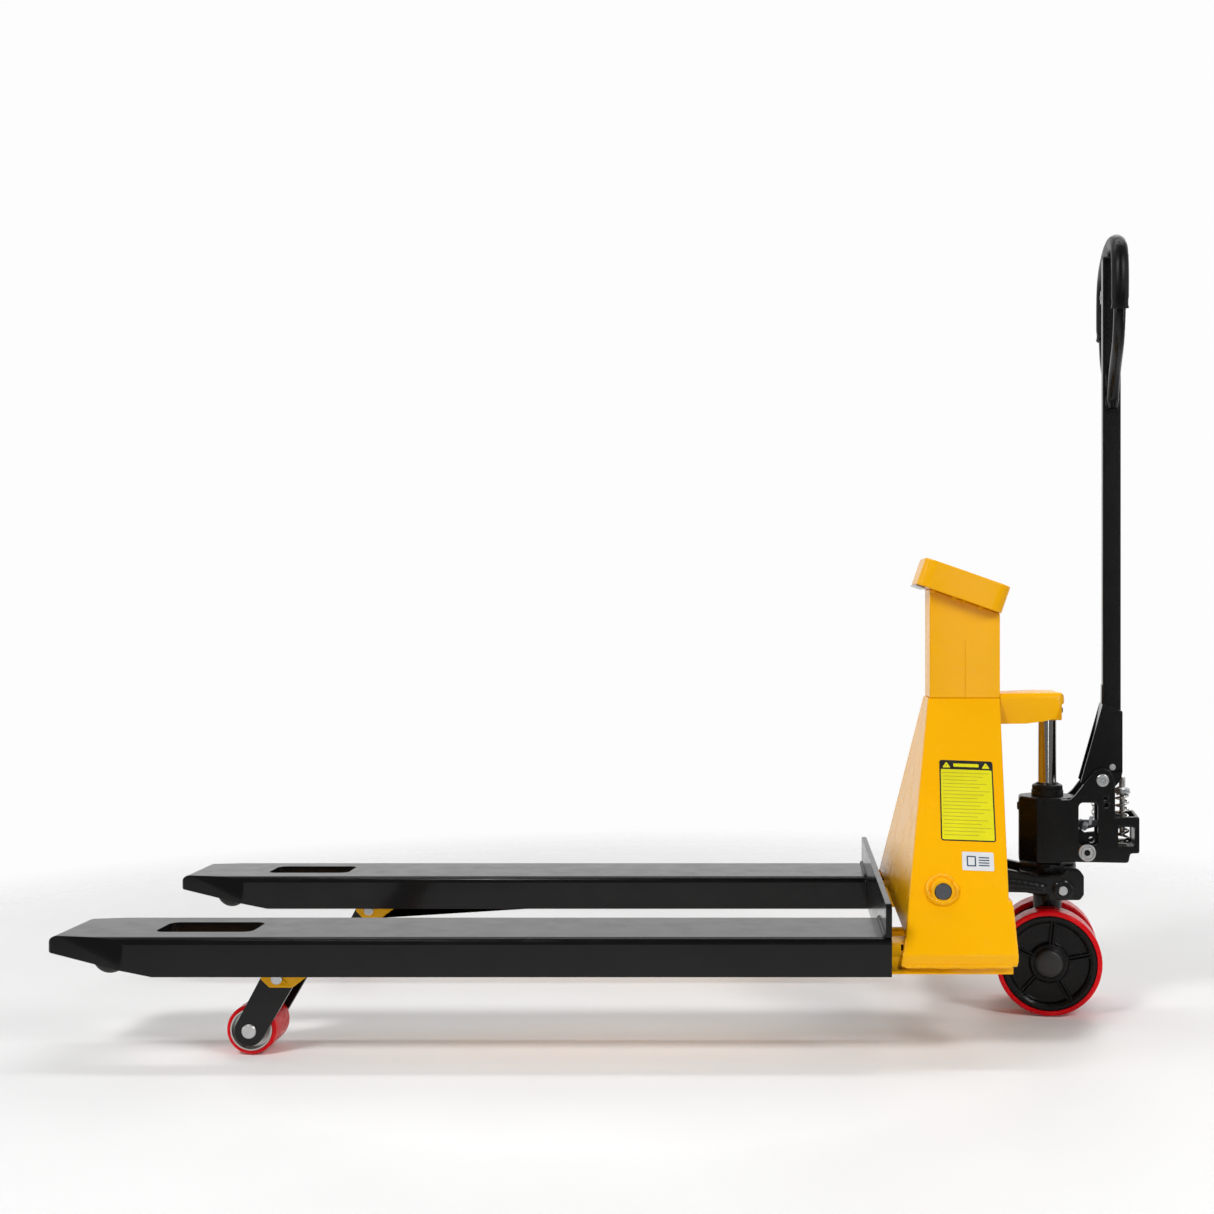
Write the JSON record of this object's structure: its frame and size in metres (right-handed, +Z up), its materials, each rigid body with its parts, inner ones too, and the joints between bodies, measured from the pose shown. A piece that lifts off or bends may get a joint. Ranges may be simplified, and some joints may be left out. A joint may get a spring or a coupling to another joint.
{
  "type": "pallet jack",
  "caption": "Hand pallet truck with raised weighing forks on load rollers, a tower with a tilted scale console, a hydraulic pump, steering wheels and a looped tiller.",
  "frame": {"origin": "on the floor, under the middle of the whole truck's box", "axes": "+X towards the tiller, fork tips at -X, +Z up, -Y is the operator's left hand side"},
  "size_m": [1.662, 0.685, 1.2636],
  "materials": {
    "fork_paint": "gloss black powder coat",
    "frame_paint": "gloss yellow-orange powder coat",
    "cast_iron_black": "black enamel over cast iron",
    "red_polyurethane": "red cast polyurethane tyre",
    "bright_steel": "turned steel",
    "zinc_plate": "zinc plated",
    "spring_steel": "zinc plated spring wire",
    "ram_chrome": "hard chrome",
    "black_nylon": "black nylon",
    "grip_rubber": "smooth black rubber",
    "console_plastic": "satin dark grey",
    "display_glass": "clear display window"
  },
  "bodies": {
    "swivel_ring": {"swivel_ring": "cast_iron_black", "thrust_bearing": "bright_steel"},
    "frame": {"fork_cover_left": "fork_paint", "fork_cover_right": "fork_paint", "heel_plate": "fork_paint", "inner_fork_left": "frame_paint", "inner_fork_right": "frame_paint", "load_cell_front_left": "bright_steel", "load_cell_front_right": "bright_steel", "load_cell_rear_left": "bright_steel", "load_cell_rear_right": "bright_steel", "arm_bolt_left": "zinc_plate", "arm_bolt_right": "zinc_plate", "side_plate_left": "frame_paint", "side_plate_right": "frame_paint", "front_plate": "frame_paint", "column_post": "frame_paint", "lift_bracket": "frame_paint", "rocker_shaft": "bright_steel", "ram": "ram_chrome", "indicator_base_plate": "frame_paint", "indicator_housing": "frame_paint", "indicator_panel": "console_plastic", "indicator_window": "display_glass", "keypad": "console_plastic"},
    "rocker": {"rocker": "cast_iron_black"},
    "pump": {"pump_body": "cast_iron_black", "axle_carrier": "cast_iron_black", "steer_axle": "bright_steel", "ram_gland": "cast_iron_black", "valve_screw": "zinc_plate", "handle_pivot_pin": "zinc_plate"},
    "plunger": {"plunger": "bright_steel", "plunger_cap": "zinc_plate", "return_spring": "spring_steel"},
    "release_lever": {"release_lever": "zinc_plate"},
    "release_chain": {"release_chain": "zinc_plate"},
    "handle": {"handle_base": "fork_paint", "pressure_roller": "zinc_plate", "handle_tube": "fork_paint", "handle_loop": "fork_paint", "handle_grip": "grip_rubber"},
    "control_lever": {"control_lever": "zinc_plate"},
    "push_rod_left": {"push_rod_left": "fork_paint"},
    "roller_arm_left": {"roller_arm_left": "fork_paint", "roller_axle_left": "zinc_plate"},
    "load_roller_left": {"roller_tyre_left": "red_polyurethane", "roller_core_left": "bright_steel"},
    "entry_roller_left": {"entry_roller_left": "black_nylon"},
    "wheel_left": {"wheel_hub_left": "cast_iron_black", "wheel_tyre_left": "red_polyurethane"},
    "push_rod_right": {"push_rod_right": "fork_paint"},
    "roller_arm_right": {"roller_arm_right": "fork_paint", "roller_axle_right": "zinc_plate"},
    "load_roller_right": {"roller_tyre_right": "red_polyurethane", "roller_core_right": "bright_steel"},
    "entry_roller_right": {"entry_roller_right": "black_nylon"},
    "wheel_right": {"wheel_hub_right": "cast_iron_black", "wheel_tyre_right": "red_polyurethane"}
  },
  "joints": [
    {"name": "lift", "type": "slide", "parent": "swivel_ring", "child": "frame", "axis": [0, 0, 1], "range_m": [-0.1, 0]},
    {"name": "steer", "type": "hinge", "parent": "swivel_ring", "child": "pump", "pos_m": [0.681, 0, 0.2], "axis": [0, 0, 1], "range_deg": [-98, 112]},
    {"name": "rocker_swing", "type": "hinge", "parent": "frame", "child": "rocker", "pos_m": [0.4803, 0, 0.2363], "axis": [0, 1, 0], "range_deg": [-26.9, 0.1]},
    {"name": "handle_tilt", "type": "hinge", "parent": "pump", "child": "handle", "pos_m": [0.76725, -0.01059, 0.3783], "axis": [0.1219, 0.9925, 0], "range_deg": [0, 80], "stiffness_Nm_per_rad": 16, "springref_deg": -20.05},
    {"name": "plunger_stroke", "type": "slide", "parent": "pump", "child": "plunger", "axis": [0, 0, 1], "range_m": [-0.0345, 0.0001], "deforming": ["return_spring"]},
    {"name": "control_lever_tilt", "type": "hinge", "parent": "handle", "child": "control_lever", "pos_m": [0.78744, 0.01313, 1.176], "axis": [0.9925, -0.1219, 0], "range_deg": [-12, 12], "stiffness_Nm_per_rad": 3},
    {"name": "release_chain_pull", "type": "slide", "parent": "pump", "child": "release_chain", "axis": [0, 0, 1], "range_m": [-0.0051, 0.0051]},
    {"name": "release_lever_tilt", "type": "hinge", "parent": "pump", "child": "release_lever", "pos_m": [0.73857, -0.00707, 0.3], "axis": [0.1219, 0.9925, 0], "range_deg": [-13.1, 13.1]},
    {"name": "push_rod_left_pivot", "type": "hinge", "parent": "rocker", "child": "push_rod_left", "pos_m": [0.4625, -0.2615, 0.1615], "axis": [0, 1, 0], "range_deg": [-0.1, 26.9]},
    {"name": "roller_arm_left_pivot", "type": "hinge", "parent": "frame", "child": "roller_arm_left", "pos_m": [-0.497, -0.2615, 0.1176], "axis": [0, 1, 0], "range_deg": [-0.2, 73]},
    {"name": "load_roller_left_spin", "type": "hinge", "parent": "roller_arm_left", "child": "load_roller_left", "pos_m": [-0.542, -0.2615, 0.037], "axis": [0, 1, 0], "continuous": true},
    {"name": "entry_roller_left_spin", "type": "hinge", "parent": "frame", "child": "entry_roller_left", "pos_m": [-0.747, -0.2615, 0.1485], "axis": [0, 1, 0], "continuous": true},
    {"name": "wheel_left_spin", "type": "hinge", "parent": "pump", "child": "wheel_left", "pos_m": [0.67466, -0.05161, 0.085], "axis": [0.1219, 0.9925, 0], "continuous": true},
    {"name": "push_rod_right_pivot", "type": "hinge", "parent": "rocker", "child": "push_rod_right", "pos_m": [0.4625, 0.2615, 0.1615], "axis": [0, 1, 0], "range_deg": [-0.1, 26.9]},
    {"name": "roller_arm_right_pivot", "type": "hinge", "parent": "frame", "child": "roller_arm_right", "pos_m": [-0.497, 0.2615, 0.1176], "axis": [0, 1, 0], "range_deg": [-0.2, 73]},
    {"name": "load_roller_right_spin", "type": "hinge", "parent": "roller_arm_right", "child": "load_roller_right", "pos_m": [-0.542, 0.2615, 0.037], "axis": [0, 1, 0], "continuous": true},
    {"name": "entry_roller_right_spin", "type": "hinge", "parent": "frame", "child": "entry_roller_right", "pos_m": [-0.747, 0.2615, 0.1485], "axis": [0, 1, 0], "continuous": true},
    {"name": "wheel_right_spin", "type": "hinge", "parent": "pump", "child": "wheel_right", "pos_m": [0.68734, 0.05161, 0.085], "axis": [0.1219, 0.9925, 0], "continuous": true}
  ],
  "couplings": [
    {"joint": "rocker_swing", "follows": "lift", "rad_per_m": 4.677},
    {"joint": "plunger_stroke", "follows": "handle_tilt", "m_per_rad": -0.02442},
    {"joint": "release_chain_pull", "follows": "control_lever_tilt", "m_per_rad": 0.0239},
    {"joint": "release_lever_tilt", "follows": "control_lever_tilt", "ratio": -1.085},
    {"joint": "push_rod_left_pivot", "follows": "lift", "rad_per_m": -4.677},
    {"joint": "roller_arm_left_pivot", "follows": "lift", "rad_per_m": -12.72},
    {"joint": "push_rod_right_pivot", "follows": "lift", "rad_per_m": -4.677},
    {"joint": "roller_arm_right_pivot", "follows": "lift", "rad_per_m": -12.72}
  ]
}
